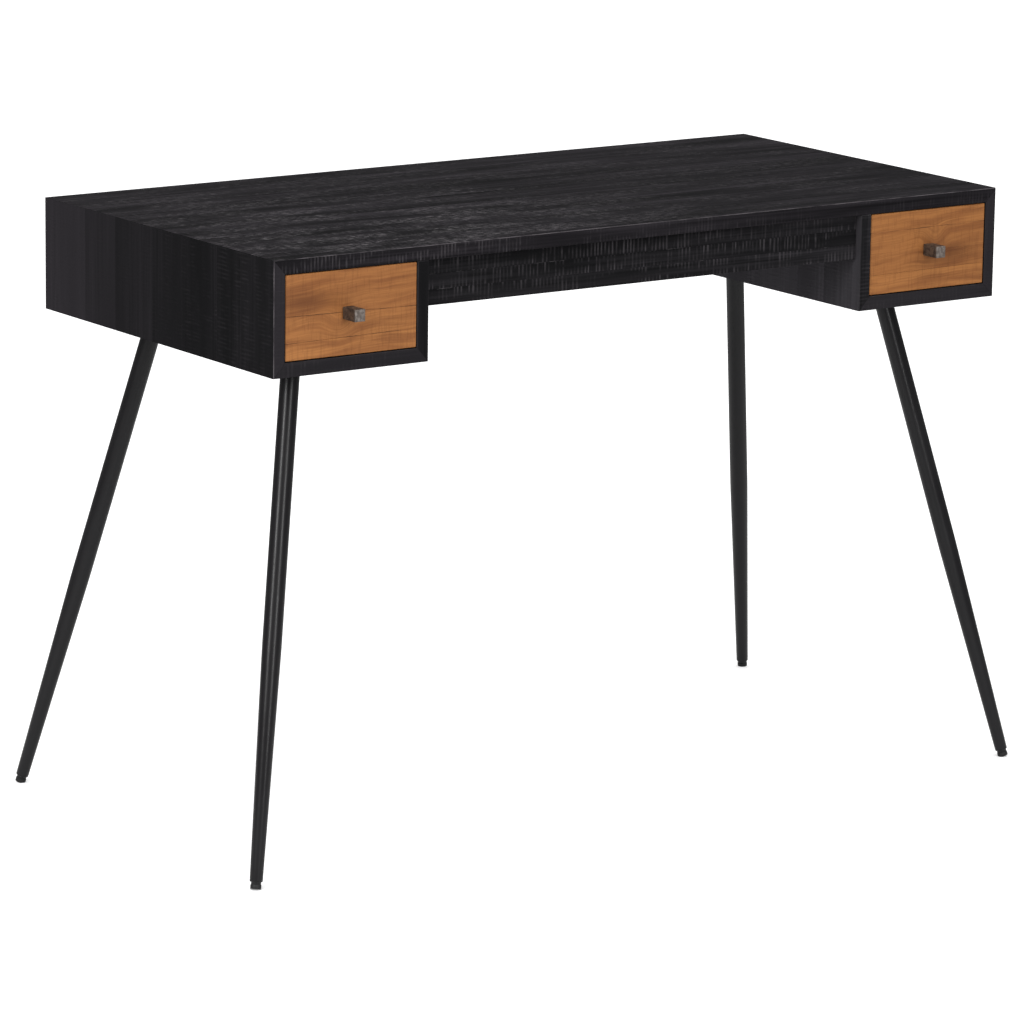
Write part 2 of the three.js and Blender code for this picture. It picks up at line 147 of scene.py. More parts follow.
def new_material(name, **surface):
    """A material whose one shader starts from this surface's own values."""
    material = bpy.data.materials.new(name)
    material.use_nodes = True
    shader = material.node_tree.nodes["Principled BSDF"]
    for socket, value in surface.items():
        shader.inputs[socket.replace("_", " ")].default_value = value
    return material, material.node_tree, shader


def new_piece(name, shape, material, smooth=False):
    """A finished mesh as an object in the scene, its place in its mesh."""
    mesh = bpy.data.meshes.new(name)
    shape.to_mesh(mesh)
    shape.free()
    mesh.materials.append(material)
    mesh.polygons.foreach_set("use_smooth", [smooth] * len(mesh.polygons))
    piece = bpy.data.objects.new(name, mesh)
    bpy.context.scene.collection.objects.link(piece)
    return piece


# Matt emulsion: no shine at all, so nothing of the room is mirrored in it.
floor_paint, tree, shader = new_material(
    "pale_matt_floor", Roughness=0.9, Specular_IOR_Level=0.0, Emission_Color=to_linear(ROOM_WHITE),
)
looked_at = add(tree, "LightPath").outputs["Is Camera Ray"]
spot = add(tree, "TexCoord").outputs["Object"]
distance = add(tree, "VectorMath", {0: spot}, operation="LENGTH").outputs["Value"]
far = add(
    tree, "MapRange", {"Value": distance, "From Min": FLOOR_NEAR, "From Max": FLOOR_FAR},
).outputs[0]
colour = layered(tree, FLOOR_BOUNCE_NEAR, (FLOOR_BOUNCE_FAR, far), (FLOOR_SEEN, looked_at))
tree.links.new(colour, shader.inputs["Base Color"])
tree.links.new(together(tree, looked_at, FLOOR_GLOW), shader.inputs["Emission Strength"])

floor_shape = bmesh.new()
bmesh.ops.create_grid(floor_shape, x_segments=1, y_segments=1, size=FLOOR_HALF)
floor = new_piece("floor", floor_shape, floor_paint)

for name, place, target, width, height, watts in SOFTBOXES:
    lamp = bpy.data.lights.new(name, "AREA")
    lamp.shape = "RECTANGLE"
    lamp.size = width
    lamp.size_y = height
    lamp.energy = watts
    softbox = bpy.data.objects.new(name, lamp)
    softbox.location = place
    softbox.rotation_euler = (Vector(place) - Vector(target)).to_track_quat("Z", "Y").to_euler()
    bpy.context.scene.collection.objects.link(softbox)

room = bpy.data.worlds.new("room")
room.use_nodes = True
sky = add(room.node_tree, "TexCoord").outputs["Generated"]
sky_height = add(room.node_tree, "SeparateXYZ", {0: sky}).outputs["Z"]
strength = add(
    room.node_tree, "MapRange",
    {"Value": sky_height, "From Min": WALL_FOOT, "From Max": WALL_HEAD,
     "To Min": HORIZON_LIGHT, "To Max": CEILING_LIGHT},
    interpolation_type="SMOOTHSTEP",
)
background = room.node_tree.nodes["Background"]
background.inputs["Color"].default_value = to_linear(ROOM_WHITE)
room.node_tree.links.new(strength.outputs[0], background.inputs["Strength"])
bpy.context.scene.world = room
bpy.context.scene.view_settings.view_transform = "Standard"


# ---------------------------------------------------------------------------
# Worktop: one wide board of reclaimed hardwood staves glued edge to edge, left
# rough from the saw, stained black and dry-waxed. It is mitred at both ends
# into the case's sides, and its corners are rubbed pale by handling.
STAIN_DARK = "0C0C0D"
STAIN_GREY = "2D2B2E"
# Saw lines painted paler: partly a paler stain on them, partly painted highlight for the light they
# catch.
SAWN_STAIN_AND_HIGHLIGHT = "4B484B"
STAIN_DRY = "7C787B"
STAIN_RUBBED = "565255"
WORKTOP_GREY = "312E32"
WORKTOP_SEAMS = (-0.213, -0.148, -0.098, -0.031, 0.034, 0.081, 0.149, 0.208)
WORKTOP_TONES = (0.2, 0.5, 0.25, 0.45, 0.15, 0.4, 0.3, 0.6, 0.35)
WORKTOP_MARKED = (-0.32, -0.24, 0.76)
ARRIS = 0.0008
SHORTEST_ARRIS = 0.004
SQUARE_FROM, SQUARE_TO = math.radians(60), math.radians(120)
SQUARE_ON = 0.95    # how squarely both faces must look along an axis, fully being 1
SEAM_WIDTH = 0.0009
SEAM_DEPTH = 0.0004
MERGE = 0.00001
FLAT_WITHIN = math.radians(2)
OUTER_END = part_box("outer_side_right")[1].x
RUBBED_INSIDE = 0.15

# Marks of the wood, in millimetres along the grain and across it. The open grain
# and the dry streaks are finer on a real board, and drawn coarse enough to show.
OPEN_GRAIN_MM = (170, 3.4, 3.4)
STAIN_CLOUD_MM = (420, 38, 38)
SAWN_AREA_MM = (90, 15, 15)
SAWN_AREA_SEED = (5.0, 1.0, 2.0)
DRY_STREAK_MM = (13, 1.0, 1.0)
THIN_STAIN_MM = (110, 24, 24)
THIN_STAIN_SEED = (1.0, 7.0, 3.0)
HANDLED_MM = (30, 30, 30)
STROKE_PITCHES = 1.4              # a saw stroke's width
SAW_SKEW = (0.0, 0.004, 0.01)     # radians off square
SAW_RUN = (1.0, 0.12, 0.12)       # saw lines run long across the grain
DRY_SHARE = 0.9
GRAIN_RELIEF = 0.35
SAWN_RELIEF = 0.0005
STAVE_JUMP = (3.7, 2.9, 4.3)      # takes each stave's pattern from a place of its own
WAVES_PER_UNIT = 20 / (2 * math.pi)    # in a metre of wave pattern at a scale of 1
ALONG_X = (0.0, 0.0, 0.0)
ALONG_Z = (0.0, math.pi / 2, 0.0)
X, Y, Z = Vector((1, 0, 0)), Vector((0, 1, 0)), Vector((0, 0, 1))


def pattern(tree, place, size_mm, low, high, detail=2.0, seed=(0.0, 0.0, 0.0)):
    """Irregular marks of this size in millimetres: none below low, full above high."""
    spaced = add(
        tree, "VectorMath", {0: place, 1: [1000 / size for size in size_mm], 2: seed},
        operation="MULTIPLY_ADD",
    )
    noise = add(tree, "TexNoise", {"Vector": spaced.outputs[0], "Scale": 1.0, "Detail": detail})
    marks = add(tree, "MapRange", {"Value": noise.outputs[0], "From Min": low, "From Max": high})
    return marks.outputs[0]


def grain_place(tree, turn):
    """Where a point lies in the piece and in its own stave, where X runs along the
    grain, and the stave's tone."""
    place = add(tree, "TexCoord").outputs["Object"]
    stave = add(tree, "Attribute", attribute_name="stave").outputs["Fac"]
    turned = add(tree, "Mapping", {"Vector": place, "Rotation": turn}).outputs[0]
    jump = add(tree, "VectorMath", {0: STAVE_JUMP, "Scale": stave}, operation="SCALE")
    own = add(tree, "VectorMath", {0: turned, 1: jump.outputs[0]}).outputs[0]
    return place, own, stave


def black_wood(name, turn, centre, reach, pitch_mm, stroke_mm, sawn, spread,
               planks=0.2, dark=STAIN_DARK, grey=STAIN_GREY, figure=1.0, front_painted_light=0.0):
    """Black-stained rough-sawn hardwood: dark open grain, saw lines square across it
    that catch the light, dry streaks of thin stain on top, and arrises rubbed pale.
    The marks are strongest at the centre and fade to their spread over the reach.
    Planks and figure say how much the staves and the grain vary in tone, and the last argument how
    much greyer the faces to the front are painted, as painted light standing for the light that
    falls on them; below nought it darkens them as painted shade."""
    material, tree, shader = new_material(name, Roughness=0.85, Specular_IOR_Level=0.03)
    place, own, stave = grain_place(tree, turn)
    away = add(tree, "VectorMath", {0: place, 1: centre}, operation="DISTANCE").outputs["Value"]
    near = add(
        tree, "MapRange",
        {"Value": away, "From Max": reach, "To Min": 1.0, "To Max": spread},
        interpolation_type="SMOOTHSTEP",
    ).outputs[0]
    facing = add(tree, "SeparateXYZ", {0: add(tree, "TexCoord").outputs["Normal"]}).outputs
    # Painted light: faces turned to the front are painted greyer by their facing (darker, as painted
    # shade, where the share is below nought).
    front_painted_light_share = together(tree, facing["Y"], -front_painted_light)
    grain = pattern(tree, own, OPEN_GRAIN_MM, low=0.3, high=0.72, detail=4.0)
    cloud = pattern(tree, own, STAIN_CLOUD_MM, low=0.32, high=0.68)

    cut = add(tree, "Mapping", {"Vector": own, "Rotation": SAW_SKEW, "Scale": SAW_RUN}).outputs[0]
    teeth = add(
        tree, "TexWave",
        {"Vector": cut, "Scale": 1000 / (pitch_mm * WAVES_PER_UNIT), "Distortion": 3.0,
         "Detail": 2.0, "Detail Scale": 1.4},
    ).outputs["Fac"]
    lines = add(tree, "MapRange", {"Value": teeth, "From Min": 0.3, "From Max": 1.0}).outputs[0]
    stroke_size = (pitch_mm * STROKE_PITCHES, stroke_mm, stroke_mm)
    strokes = pattern(tree, own, stroke_size, low=0.38, high=0.66, detail=1.0)
    areas = pattern(tree, own, SAWN_AREA_MM, low=0.38, high=0.6, seed=SAWN_AREA_SEED)
    saw_marks = together(tree, lines, strokes, areas)

    streaks = pattern(tree, own, DRY_STREAK_MM, low=0.54, high=0.66, detail=3.0)
    thin = pattern(tree, own, THIN_STAIN_MM, low=0.46, high=0.6, seed=THIN_STAIN_SEED)
    dry = add(tree, "Clamp", {0: together(tree, streaks, thin, near, facing["Z"], DRY_SHARE)})
    rubbed = add(tree, "Attribute", attribute_name="arris").outputs["Fac"]
    handled = pattern(tree, place, HANDLED_MM, low=0.3, high=0.6)

    body = together(tree, grain, cloud, figure)
    plank = add(tree, "Math", {0: stave, 1: planks, 2: body}, operation="MULTIPLY_ADD").outputs[0]
    paler = add(tree, "Math", {0: plank, 1: front_painted_light_share}, operation="ADD").outputs[0]
    colour = layered(
        tree, dark,
        (grey, paler),
        (SAWN_STAIN_AND_HIGHLIGHT, saw_marks, near, sawn),
        (STAIN_DRY, dry.outputs[0]),
        (STAIN_RUBBED, rubbed, handled),
    )
    tree.links.new(colour, shader.inputs["Base Color"])

    relief = add(
        tree, "Math", {0: grain, 1: GRAIN_RELIEF, 2: saw_marks}, operation="MULTIPLY_ADD",
    ).outputs[0]
    bump = add(tree, "Bump", {"Height": relief, "Strength": 0.5, "Distance": SAWN_RELIEF})
    tree.links.new(bump.outputs[0], shader.inputs["Normal"])
    return material


def node_solid(node):
    """A node's own solid as one closed mesh with its flat faces whole."""
    shape = bmesh.new()
    shape.from_mesh(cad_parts[node].data)
    bmesh.ops.remove_doubles(shape, verts=shape.verts, dist=MERGE)
    bmesh.ops.dissolve_limit(
        shape, angle_limit=FLAT_WITHIN, verts=shape.verts, edges=shape.edges,
    )
    return shape


def ease_arrises(shape, width, segments=1, shortest=SHORTEST_ARRIS):
    """Takes off the square corners and marks them as arrises; mitres stay sharp."""
    arris = shape.faces.layers.float.new("arris")
    square = [
        edge for edge in shape.edges
        if len(edge.link_faces) == 2
        and SQUARE_FROM < edge.calc_face_angle() < SQUARE_TO
        and edge.calc_length() > shortest
        and all(max(map(abs, face.normal)) > SQUARE_ON for face in edge.link_faces)
    ]
    eased = bmesh.ops.bevel(
        shape, geom=square, offset=width, segments=segments, profile=0.5,
        affect="EDGES", clamp_overlap=True, material=-1,
    )
    for face in eased["faces"]:
        middle = face.calc_center_median()
        outer = middle.z > cad_box[1].z - 2 * width or abs(middle.x) > OUTER_END - 2 * width
        face[arris] = 1.0 if outer else RUBBED_INSIDE


def cut_seams(shape, across, seams, tones, slant=Vector()):
    """Scores the joint lines of glued staves and gives each stave its tone, 0 to 1."""
    seam = shape.faces.layers.float.new("seam")
    middle = sum((vert.co for vert in shape.verts), Vector()) / len(shape.verts)
    for number, place in enumerate(seams):
        point = middle + across * (place - middle.dot(across))
        normal = (across + slant * (-1) ** number).normalized()
        cut = bmesh.ops.bisect_plane(
            shape, geom=shape.verts[:] + shape.edges[:] + shape.faces[:],
            plane_co=point, plane_no=normal,
        )
        line = [item for item in cut["geom_cut"] if isinstance(item, bmesh.types.BMEdge)]
        groove = bmesh.ops.bevel(
            shape, geom=line, offset=SEAM_WIDTH / 2, segments=2, profile=0.5,
            affect="EDGES", clamp_overlap=True, material=-1,
        )
        for face in groove["faces"]:
            face[seam] = 1.0
        shape.normal_update()
        for vert in shape.verts:
            if abs((vert.co - point).dot(normal)) < MERGE:
                vert.co -= vert.normal * SEAM_DEPTH
    stave = shape.faces.layers.float.new("stave")
    for face in shape.faces:
        at = face.calc_center_median().dot(across)
        face[stave] = tones[sum(at > place for place in seams)]


def wooden_board(name, node, body, material, across, seams, tones,
                 slant=Vector(), arris=ARRIS):
    """A board in its node's place, with eased arrises and its glued staves."""
    shape = node_solid(node)
    ease_arrises(shape, arris)
    cut_seams(shape, across, seams, tones, slant)
    bmesh.ops.triangulate(shape, faces=shape.faces[:])
    board = new_piece(name, shape, material)
    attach(board, body)
    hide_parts(node)


worktop_wood = black_wood(
    "worktop_black_wood", ALONG_X, centre=WORKTOP_MARKED, reach=0.55, pitch_mm=5.0,
    stroke_mm=18, sawn=0.75, spread=0.25, grey=WORKTOP_GREY, figure=0.9, front_painted_light=0.15,
)
wooden_board(
    "worktop", "desktop", "case", worktop_wood, Y, WORKTOP_SEAMS, WORKTOP_TONES,
)


# ---------------------------------------------------------------------------
# Apron: a low rail glued up from three narrow strips of the same black wood,
# fixed under the worktop's front edge between the drawer compartments.
APRON_DARK = "131314"
APRON_GREY = "333134"
APRON_SEAMS = (0.7035, 0.7225)
APRON_TONES = (0.2, 0.1, 0.3)
APRON_MARKED = (0.05, -0.26, 0.71)

apron_wood = black_wood(
    "apron_black_wood", ALONG_X, centre=APRON_MARKED, reach=0.5, pitch_mm=5.5,
    stroke_mm=30, sawn=0.75, spread=0.8, dark=APRON_DARK, grey=APRON_GREY,
)
wooden_board("apron_rail", "apron", "case", apron_wood, Z, APRON_SEAMS, APRON_TONES)


# ---------------------------------------------------------------------------
# Back panel: one long board of the same wood behind both compartments, glued
# from four staves and set in from the case's rear edge.
BACK_SEAMS = (0.664, 0.689, 0.716)
BACK_TONES = (0.4, 0.15, 0.6, 0.3)
BACK_MARKED = (0, 0, 0.7)

plain_black_wood = black_wood(
    "plain_black_wood", ALONG_X, centre=BACK_MARKED, reach=1.0, pitch_mm=6.0,
    stroke_mm=30, sawn=0.4, spread=0.3, front_painted_light=0.6,
)
wooden_board(
    "case_back", "back_panel", "case", plain_black_wood, Z, BACK_SEAMS, BACK_TONES,
)


# ---------------------------------------------------------------------------
# Case sides: upright-grained boards at both ends of the desk and on the inner
# side of each compartment, mitred to the worktop and to the bottom panels.
SIDE_DARK = "141415"
SIDE_GREY = "363337"
INNER_DARK = "131314"
# The inner boards' grey is far paler than the end boards': painted light standing for the light
# bounced up from the floor onto these shaded boards.
INNER_GREY_PAINTED_LIGHT = "5B585D"
SIDE_SEAMS = (-0.196, -0.142, -0.061, 0.008, 0.097, 0.171)
# The end boards' staves run darker to the front and paler towards the back.
OUTER_TONES = (0.12, 0.02, 0.06, 0.14, 0.3, 0.6, 1.0)
INNER_TONES = (0.4, 0.52, 0.66, 0.6, 0.7, 0.5, 0.2)
OUTER_MARKED = (-0.55, -0.2, 0.69)
INNER_MARKED = (0.33, -0.26, 0.69)
HANDS = ("left", "right")

side_wood = black_wood(
    "side_black_wood", ALONG_Z, centre=OUTER_MARKED, reach=0.3, pitch_mm=5.0,
    stroke_mm=16, sawn=0.14, spread=0.1, planks=0.55, dark=SIDE_DARK, grey=SIDE_GREY,
    figure=0.3, front_painted_light=0.5,
)
# A lit copy of the side wood: its paler grey is painted light for the inner boards under the
# worktop.
inner_side_wood_painted_light = black_wood(
    "inner_side_black_wood_painted_light", ALONG_Z, centre=INNER_MARKED, reach=0.2, pitch_mm=5.0,
    stroke_mm=20, sawn=0.3, spread=0.15, planks=0.8, dark=INNER_DARK, grey=INNER_GREY_PAINTED_LIGHT,
    figure=0.25, front_painted_light=-0.3,
)
for mark in HANDS:
    wooden_board(
        f"end_board_{mark}", f"outer_side_{mark}", "case", side_wood,
        Y, SIDE_SEAMS, OUTER_TONES,
    )
    wooden_board(
        f"inner_board_{mark}", f"inner_side_{mark}", "case", inner_side_wood_painted_light,
        Y, SIDE_SEAMS, INNER_TONES,
    )


# ---------------------------------------------------------------------------
# Bottom panels: the floor of each compartment, the grain running across the
# desk, mitred to the sides so that only its front edge shows under the drawer.
BOTTOM_SEAMS = (-0.19, -0.11, -0.035, 0.052, 0.118, 0.201)
BOTTOM_TONES = (0.35, 0.6, 0.2, 0.5, 0.3, 0.7, 0.15)

for mark in HANDS:
    wooden_board(
        f"floor_board_{mark}", f"bottom_panel_{mark}", "case", plain_black_wood,
        Y, BOTTOM_SEAMS, BOTTOM_TONES,
    )


# ---------------------------------------------------------------------------
# Drawer fronts: natural reclaimed teak in three or four glued planks, sawn and
# lightly oiled, set flush in the black frame with a fine shadow gap all round.
TEAK_LIGHT = "B0743F"
TEAK_MID = "7E4A26"
TEAK_DARK = "5A3016"
TEAK_RUBBED = "B98250"
TEAK_SEAM = "3A1E0E"
TEAK_ARRIS = 0.0007
FRONT_SEAMS = {"left": (0.6593, 0.6895), "right": (0.6630, 0.6890, 0.7176)}
FRONT_TONES = {"left": (0.0, 0.33, 0.6), "right": (0.15, 0.6, 0.4, 0.3)}
FRONT_SLANT = X * -0.012
FRONT_SEEDS = {"left": (1.0, 2.0, 3.0), "right": (8.0, 5.0, 2.0)}
KNOTS = {"left": (-0.458, -0.269, 0.674), "right": (0.452, -0.269, 0.70)}
KNOT_REACH = 0.03
KNOT_LIFT = 0.012
HEARTS = {"left": (-0.505, -0.269, 0.706), "right": (0.475, -0.269, 0.683)}
HEART_SHAPE = (16, 1, 55)        # patch lengths, depths and heights in a metre: long and low
HEART_EDGE = 1.2
TEAK_RISE = (0.0, 0.06, 0.0)     # radians by which the grain climbs
WANDERS_PER_METRE = 14.0         # the grain wanders up and down every 70 mm or so
WANDER_LIFT = 0.013
PLANK_SHARE = 0.45
BAND_SHARE = 0.6
PORE_SHARE = 0.32
HEART_SHARE = 0.6
TEAK_SAW_SHARE = 0.18
TEAK_RUBBED_SHARE = 0.6
SEAM_SHARE = 0.7

# Marks of the teak, in millimetres along the grain and across it. The pore lines
# are finer on a real board, and drawn coarse enough to show.
PORE_MM = (60, 1.5, 1.5)
BAND_MM = (90, 8, 8)
TEAK_SAW_MM = (2.4, 20, 20)
OPEN_SEAM_MM = (25, 25, 25)
TEAK_RELIEF = 0.0002


def teak(name, knot, heart_at, seed):
    """Oiled reclaimed teak: golden brown with darker bands that bend round a knot,
    a darker heart patch, and faint upright saw marks."""
    material, tree, shader = new_material(name, Roughness=0.55, Specular_IOR_Level=0.3)
    place, own, stave = grain_place(tree, TEAK_RISE)
    ring = add(tree, "VectorMath", {0: place, 1: knot}, operation="DISTANCE").outputs["Value"]
    swell = add(
        tree, "MapRange",
        {"Value": ring, "From Max": KNOT_REACH, "To Min": KNOT_LIFT, "To Max": 0.0},
        interpolation_type="SMOOTHSTEP",
    ).outputs[0]
    wander = add(
        tree, "TexNoise", {"Vector": own, "Scale": WANDERS_PER_METRE, "Detail": 1.0},
    ).outputs[0]
    lift = add(
        tree, "Math", {0: wander, 1: WANDER_LIFT, 2: swell}, operation="MULTIPLY_ADD",
    ).outputs[0]
    rise = add(tree, "CombineXYZ", {"Z": lift}).outputs[0]
    bent = add(tree, "VectorMath", {0: own, 1: rise}).outputs[0]
    pores = pattern(tree, bent, PORE_MM, low=0.4, high=0.75, detail=3.0, seed=seed)
    bands = pattern(tree, bent, BAND_MM, low=0.45, high=0.66, seed=seed)
    saw = pattern(tree, place, TEAK_SAW_MM, low=0.52, high=0.7, detail=1.0, seed=seed)

    apart = add(tree, "VectorMath", {0: place, 1: heart_at}, operation="SUBTRACT").outputs[0]
    shaped = add(tree, "VectorMath", {0: apart, 1: HEART_SHAPE}, operation="MULTIPLY").outputs[0]
    outwards = add(tree, "VectorMath", {0: shaped}, operation="LENGTH").outputs["Value"]
    heart = add(
        tree, "MapRange",
        {"Value": outwards, "From Max": HEART_EDGE, "To Min": 1.0, "To Max": 0.0},
        interpolation_type="SMOOTHSTEP",
    ).outputs[0]
    rubbed = add(tree, "Attribute", attribute_name="arris").outputs["Fac"]
    glue_line = add(tree, "Attribute", attribute_name="seam").outputs["Fac"]
    open_seam = pattern(tree, place, OPEN_SEAM_MM, low=0.35, high=0.6)

    colour = layered(
        tree, TEAK_LIGHT,
        (TEAK_MID, stave, PLANK_SHARE),
        (TEAK_MID, bands, BAND_SHARE),
        (TEAK_DARK, pores, PORE_SHARE),
        (TEAK_DARK, heart, HEART_SHARE),
        (TEAK_DARK, saw, TEAK_SAW_SHARE),
        (TEAK_RUBBED, rubbed, TEAK_RUBBED_SHARE),
        (TEAK_SEAM, glue_line, open_seam, SEAM_SHARE),
    )
    tree.links.new(colour, shader.inputs["Base Color"])

    relief = add(tree, "Math", {0: pores, 1: saw}, operation="ADD").outputs[0]
    bump = add(tree, "Bump", {"Height": relief, "Strength": 0.35, "Distance": TEAK_RELIEF})
    tree.links.new(bump.outputs[0], shader.inputs["Normal"])
    return material


for mark in HANDS:
    front_teak = teak(f"{mark}_front_teak", KNOTS[mark], HEARTS[mark], FRONT_SEEDS[mark])
    wooden_board(
        f"teak_front_{mark}", f"drawer_front_{mark}", f"drawer_{mark}", front_teak,
        Z, FRONT_SEAMS[mark], FRONT_TONES[mark], FRONT_SLANT, TEAK_ARRIS,
    )


# ---------------------------------------------------------------------------
# Drawer boxes: plain sanded pale wood, two sides and a back on end, grooved
# for a thin bottom panel, their top edges lightly rounded by sanding.
PALE_LIGHT = "C9AE86"
PALE_DARK = "A98C63"
PALE_LINE_MM = (120, 1.4, 1.4)   # growth lines, drawn coarse enough to show
PALE_BAND_MM = (400, 14, 14)
PALE_LINE_SHARE = 0.45
PALE_BAND_SHARE = 0.4
PALE_RELIEF = 0.0001
ALONG_Y = (0.0, 0.0, math.pi / 2)
BOX_ARRIS = 0.0008
BOX_TONES = (0.3,)
BOX_BOARDS = ("drawer_side_l", "drawer_side_r", "drawer_back", "drawer_bottom")

# Pale wood, sanded and left bare: a soft dull surface with fine straight lines.
pale_wood, tree, shader = new_material(
    "sanded_pale_wood", Roughness=0.6, Specular_IOR_Level=0.3,
)
own = grain_place(tree, ALONG_Y)[1]
lines = pattern(tree, own, PALE_LINE_MM, low=0.3, high=0.7, detail=3.0)
bands = pattern(tree, own, PALE_BAND_MM, low=0.35, high=0.7)
colour = layered(
    tree, PALE_LIGHT, (PALE_DARK, lines, PALE_LINE_SHARE), (PALE_DARK, bands, PALE_BAND_SHARE),
)
tree.links.new(colour, shader.inputs["Base Color"])
bump = add(tree, "Bump", {"Height": lines, "Strength": 0.25, "Distance": PALE_RELIEF})
tree.links.new(bump.outputs[0], shader.inputs["Normal"])

for mark in HANDS:
    for board in BOX_BOARDS:
        wooden_board(
            f"box_{board.removeprefix('drawer_')}_{mark}", f"{board}_{mark}", f"drawer_{mark}",
            pale_wood, Y, (), BOX_TONES, arris=BOX_ARRIS,
        )


# ---------------------------------------------------------------------------
# Drawer slides: full-extension ball-bearing slides in rolled zinc-plated steel,
# one channel on the case, one on the drawer and a running channel between.
ZINC_LIGHT = "C9CBCC"
ZINC_DARK = "A4A7A9"
ROLLED_MM = (0.9, 60, 0.9)       # rolling lines, drawn coarse enough to show
SPANGLE_MM = (7, 9, 7)
SPANGLE_SHARE = 0.5
ZINC_SMOOTH, ZINC_ROUGH = 0.26, 0.42
ZINC_RELIEF = 0.00005
SHEET_EASE = 0.00025
SHEET_SHORTEST = 0.0005
SLIDE_BODIES = {
    "cabinet_rail": "case", "middle_rail": "middle_rails_{}", "drawer_rail": "drawer_{}",
}

# Bright zinc on rolled steel: cool and softly mirrored, cloudy where it crystallised.
zinc_steel, tree, shader = new_material("zinc_plated_steel", Metallic=1.0)
place = add(tree, "TexCoord").outputs["Object"]
rolled = pattern(tree, place, ROLLED_MM, low=0.3, high=0.7)
spangle = pattern(tree, place, SPANGLE_MM, low=0.35, high=0.65, detail=1.0)
colour = layered(tree, ZINC_LIGHT, (ZINC_DARK, spangle, SPANGLE_SHARE))
tree.links.new(colour, shader.inputs["Base Color"])
rough = add(tree, "MapRange", {"Value": rolled, "To Min": ZINC_SMOOTH, "To Max": ZINC_ROUGH})
tree.links.new(rough.outputs[0], shader.inputs["Roughness"])
bump = add(tree, "Bump", {"Height": rolled, "Strength": 0.15, "Distance": ZINC_RELIEF})
tree.links.new(bump.outputs[0], shader.inputs["Normal"])

for mark in HANDS:
    for side in ("l", "r"):
        for member, body in SLIDE_BODIES.items():
            node = f"{member}_{side}_{mark}"
            shape = node_solid(node)
            ease_arrises(shape, SHEET_EASE, segments=2, shortest=SHEET_SHORTEST)
            channel = new_piece(f"slide_{node}", shape, zinc_steel)
            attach(channel, body.format(mark))
            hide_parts(node)


# ---------------------------------------------------------------------------
# Knobs: short lengths of square iron bar, the corners eased on a grinder and
# the metal darkened to an antique brown-grey, standing end-on from the front.
IRON_BROWN = "54483F"
IRON_DARK = "30251F"
IRON_HANDLED_AND_LIT = "958C86"
RUST_MM = (5, 7, 5)
WORN_MM = (3.5, 6, 3.5)
END_EVENLY_WORN_AND_LIT = 0.3
HANDLED_PATCHES = 0.5
IRON_SMOOTH, IRON_ROUGH = 0.38, 0.62
IRON_RELIEF = 0.0002
KNOB_EASE = 0.0009
KNOB_LONG_EDGE = 0.01
KNOB_CUTS = 6
KNOB_HAMMER = 0.00012
KNOB_SEED = 81


def block(size, middle):
    """A plain block of this size about its middle."""
    shape = bmesh.new()
    bmesh.ops.create_cube(shape, size=1.0)
    bmesh.ops.scale(shape, vec=size, verts=shape.verts)
    bmesh.ops.translate(shape, vec=middle, verts=shape.verts)
    return shape


# Darkened iron: a dull brown skin with only a little of the metal's shine, dark in the rust, and
# paler on the end: worn grey in patches where fingers take it, and evenly paler over the whole end
# face as painted light for the light it catches.
aged_iron, tree, shader = new_material("aged_iron", Metallic=0.25)
place = add(tree, "TexCoord").outputs["Object"]
rust = pattern(tree, place, RUST_MM, low=0.4, high=0.62, detail=3.0)
worn = pattern(tree, place, WORN_MM, low=0.45, high=0.7)
facing = add(tree, "SeparateXYZ", {0: add(tree, "TexCoord").outputs["Normal"]}).outputs
# Painted light and wear on the end face: an even paler share for the light it catches, with worn
# patches on top.
end_face_wear_and_light = add(tree, "Clamp", {0: together(tree, facing["Y"], -1.0)}).outputs[0]
end_wear_and_painted_light = add(
    tree, "Math", {0: worn, 1: HANDLED_PATCHES, 2: END_EVENLY_WORN_AND_LIT}, operation="MULTIPLY_ADD",
).outputs[0]
colour = layered(tree, IRON_BROWN, (IRON_DARK, rust), (IRON_HANDLED_AND_LIT, end_face_wear_and_light, end_wear_and_painted_light))
tree.links.new(colour, shader.inputs["Base Color"])
rough = add(tree, "MapRange", {"Value": rust, "To Min": IRON_SMOOTH, "To Max": IRON_ROUGH})
tree.links.new(rough.outputs[0], shader.inputs["Roughness"])
bump = add(tree, "Bump", {"Height": worn, "Strength": 0.4, "Distance": IRON_RELIEF})
tree.links.new(bump.outputs[0], shader.inputs["Normal"])

for hand, mark in enumerate(HANDS):
    low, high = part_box(f"knob_{mark}")
    shape = block(high - low, (low + high) / 2)
    bmesh.ops.bevel(
        shape, geom=shape.edges[:], offset=KNOB_EASE, segments=3, profile=0.5,
        affect="EDGES", clamp_overlap=True, material=-1,
    )
    bmesh.ops.subdivide_edges(
        shape, edges=[edge for edge in shape.edges if edge.calc_length() > KNOB_LONG_EDGE],
        cuts=KNOB_CUTS, use_grid_fill=True,
    )
    chance = random.Random(KNOB_SEED + hand)
    for vert in shape.verts:
        vert.co -= vert.normal * chance.random() * KNOB_HAMMER
    knob = new_piece(f"square_knob_{mark}", shape, aged_iron, smooth=True)
    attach(knob, f"drawer_{mark}")
    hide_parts(f"knob_{mark}")


